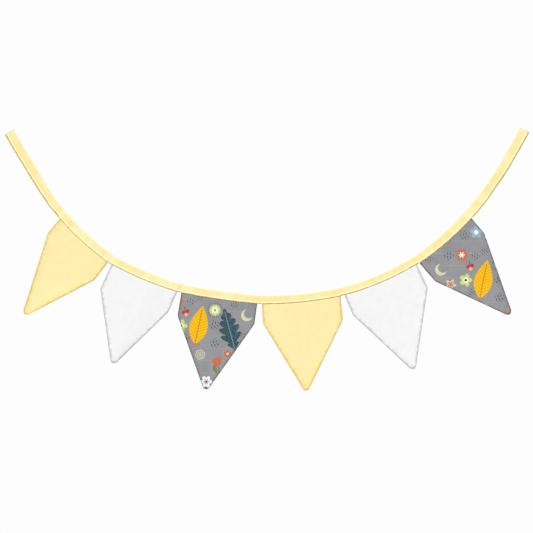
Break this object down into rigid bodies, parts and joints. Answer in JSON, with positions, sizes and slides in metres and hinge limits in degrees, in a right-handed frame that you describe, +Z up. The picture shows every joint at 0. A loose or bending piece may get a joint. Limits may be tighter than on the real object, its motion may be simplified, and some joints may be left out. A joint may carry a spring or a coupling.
{
  "type": "fabric bunting",
  "caption": "House-shaped cotton flags in plain yellow, plain white and a grey print, sewn into a folded yellow binding tape that hangs in a swag from its ends.",
  "frame": {"origin": "on the back of the binding tape's left end, 10 mm in from the end and midway across the folded tape, where a pin goes through it into the wall", "axes": "+X to the right along the swag, +Y back into the wall that it hangs against, +Z up; the front faces -Y"},
  "size_m": [1.2074, 0.0173, 0.6043],
  "materials": {
    "yellow_cotton": "matt plain-weave cotton, pale butter yellow",
    "white_cotton": "matt plain-weave cotton, white",
    "printed_cotton": null
  },
  "bodies": {
    "root": {"binding_tape": "yellow_cotton", "flag_1_yellow": "yellow_cotton", "flag_2_white": "white_cotton", "flag_3_print": "printed_cotton", "flag_4_yellow": "yellow_cotton", "flag_5_white": "white_cotton", "flag_6_print": "printed_cotton"}
  },
  "joints": []
}
